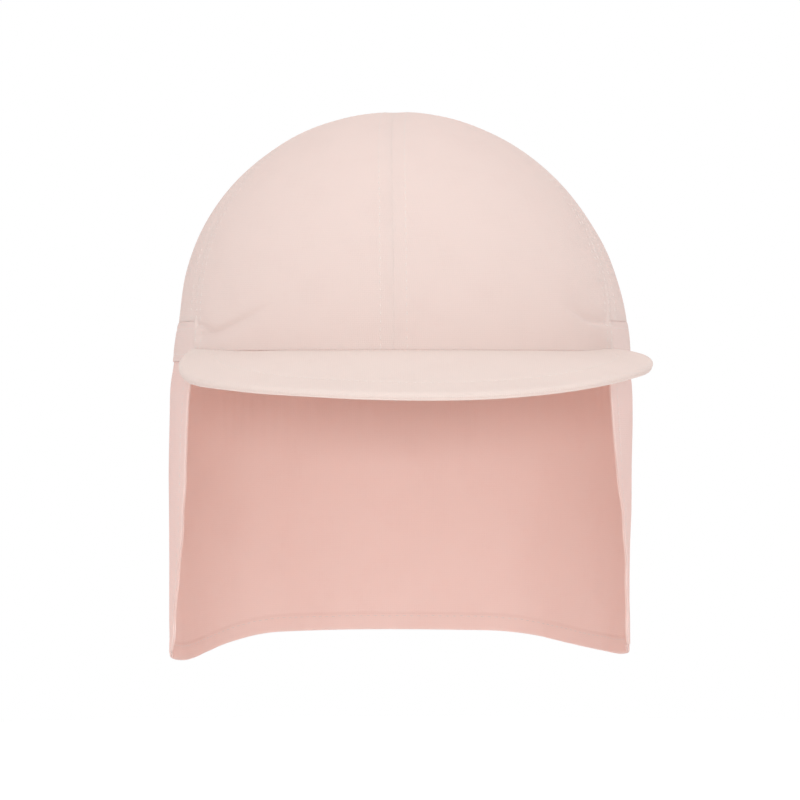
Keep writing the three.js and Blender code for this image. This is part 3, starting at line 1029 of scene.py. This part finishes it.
# Spun polyester sewing thread, two plies twisted: a touch glossier than the cloth, with a fine
# slanting grain.
def spunPolyesterThread(name, colour, deeper):
    material = bpy.data.materials.new(name)
    material.use_nodes = True
    tree = material.node_tree
    tree.nodes.clear()
    place = addNode(tree, "ShaderNodeTexCoord").outputs["Object"]
    plyTurn = 0.5  # one turn of the plies
    twist = addNode(tree, "ShaderNodeTexWave", {
        "bands_direction": "DIAGONAL", "Scale": bandScale(plyTurn)}, {"Vector": place})
    tone = addNode(tree, "ShaderNodeMix", {
        "data_type": "RGBA", 6: linearColour(deeper), 7: linearColour(colour)}, {
        0: twist.outputs["Fac"]})
    bump = addNode(tree, "ShaderNodeBump", {"Strength": 0.4, "Distance": 0.04 * millimetre}, {
        "Height": twist.outputs["Fac"]})
    thread = addNode(tree, "ShaderNodeBsdfPrincipled", {
        "IOR": 1.5, "Roughness": 0.55, "Specular IOR Level": 0.4, "Sheen Weight": 0.1}, {
        "Base Color": tone.outputs[2], "Normal": bump.outputs["Normal"]})
    addNode(tree, "ShaderNodeOutputMaterial", {}, {"Surface": thread.outputs["BSDF"]})
    return material


# The flap is a single layer and passes the most light. The casing holds elastic and the peak
# a board.
# All four are the one cotton. Each copy's colours are set to how that piece looks in its own light
# and shade: painted light and shade, beside the different shares that pass.
crownCotton = plainWovenCotton(
    "plain_woven_cotton_crown", "#e8ddd7", "#e5d9d3", "#ffcabb", 0.25)
casingCotton = plainWovenCotton(
    "plain_woven_cotton_casing", "#e8dad4", "#e5d6d0", "#ffc6b6", 0.24)
peakCotton = plainWovenCotton(
    "plain_woven_cotton_peak", "#e4d7d0", "#e1d3cc", "#ffcabb", 0.15)
flapCotton = plainWovenCotton(
    "plain_woven_cotton_flap", "#ede9e5", "#eae4e0", "#ffbca4", 0.38)
sewingThread = spunPolyesterThread("spun_polyester_thread", "#e9dbd4", "#dfcfc8")


def dress(piece, material, slot, *nodes):
    piece.data.materials.append(material)
    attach(piece, "root")
    if nodes:
        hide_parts(*nodes)


for name, panel in panels.items():
    dress(panel, crownCotton, "crown_cloth", name)
dress(casingBand, casingCotton, "casing_cloth", "back_casing")
dress(peakBoard, peakCotton, "peak_cloth", "peak")
dress(flapSheet, flapCotton, "flap_cloth", "neck_flap")
dress(crownStitches, sewingThread, "crown_cloth")
dress(casingStitches, sewingThread, "casing_cloth")
dress(peakStitches, sewingThread, "peak_cloth")
dress(flapStitches, sewingThread, "flap_cloth")
print("pieces dressed")


# Studio

studio = {
    "floorHeight": -170,
    "floorRadius": 600,
    "floorCorners": 96,
    "floorGlow": 0.15,  # keeps its far edge as white as the room
    "ambient": 0.63,
    "camera": (-0.35, -1500, -13.4),
    "lens": 191.6,
    # Softboxes: place and size in metres, and power in watts
    "softboxes": {
        "overhead_softbox": {"place": (0, -0.15, 1.45), "size": (1.7, 1.5), "power": 11.2},
        "front_softbox": {"place": (0, -2.3, 0.12), "size": (1.2, 0.24), "power": 19.8},
        "back_softbox": {"place": (0, 2.2, 0.6), "size": (2.6, 1.2), "power": 5},
        "left_softbox": {"place": (2.0, -0.5, 0.5), "size": (1.5, 1.5), "power": 6.8},
        "right_softbox": {"place": (-2.0, -0.5, 0.5), "size": (1.5, 1.5), "power": 6.4},
    },
}
white = linearColour("#ffffff")


# The room is white to look at, and gives less light than that, so that the softboxes shape it.
def makeWorld():
    world = bpy.data.worlds.new("studio")
    bpy.context.scene.world = world
    world.use_nodes = True
    tree = world.node_tree
    tree.nodes.clear()
    seen = addNode(tree, "ShaderNodeBackground", {"Color": white, "Strength": 1.0})
    given = addNode(tree, "ShaderNodeBackground", {"Color": white, "Strength": studio["ambient"]})
    ray = addNode(tree, "ShaderNodeLightPath")
    both = addNode(tree, "ShaderNodeMixShader", {}, {
        0: ray.outputs["Is Camera Ray"], 1: given.outputs[0], 2: seen.outputs[0]})
    addNode(tree, "ShaderNodeOutputWorld", {}, {"Surface": both.outputs[0]})


# A round sheet of uncoated white paper: matt, with no gleam under the cap.
def makeFloor():
    count, rim = studio["floorCorners"], studio["floorRadius"]
    steps = np.linspace(0, 2 * math.pi, count + 1)[:-1]
    heights = 0 * steps + studio["floorHeight"]
    corners = np.stack([rim * np.cos(steps), rim * np.sin(steps), heights], 1)
    floor = makeObject("studio_floor", corners, np.arange(count)[None])
    paper = bpy.data.materials.new("matt_paper_floor")
    paper.use_nodes = True
    surface = paper.node_tree.nodes["Principled BSDF"].inputs
    surface["Base Color"].default_value = linearColour("#fafafa")
    surface["Roughness"].default_value = 0.95
    surface["Specular IOR Level"].default_value = 0.1
    surface["Emission Color"].default_value = white
    surface["Emission Strength"].default_value = studio["floorGlow"]
    floor.data.materials.append(paper)


def addSoftbox(name, place, size, power):
    light = bpy.data.lights.new(name, "AREA")
    light.shape = "RECTANGLE"
    light.size, light.size_y = size
    light.energy = power
    lamp = bpy.data.objects.new(name, light)
    bpy.context.scene.collection.objects.link(lamp)
    lamp.location = place
    lamp.rotation_euler = (-lamp.location).to_track_quat("-Z", "Y").to_euler()


def addCamera():
    lens = bpy.data.cameras.new("camera")
    lens.sensor_width = 36
    lens.lens = studio["lens"]
    camera = bpy.data.objects.new("camera", lens)
    bpy.context.scene.collection.objects.link(camera)
    camera.location = [value * millimetre for value in studio["camera"]]
    camera.rotation_euler = (math.pi / 2, 0, 0)
    bpy.context.scene.camera = camera


makeWorld()
makeFloor()
for name, box in studio["softboxes"].items():
    addSoftbox(name, **box)
addCamera()
bpy.context.scene.view_settings.view_transform = "Standard"
print("studio lit")

bpy.context.view_layer.update()
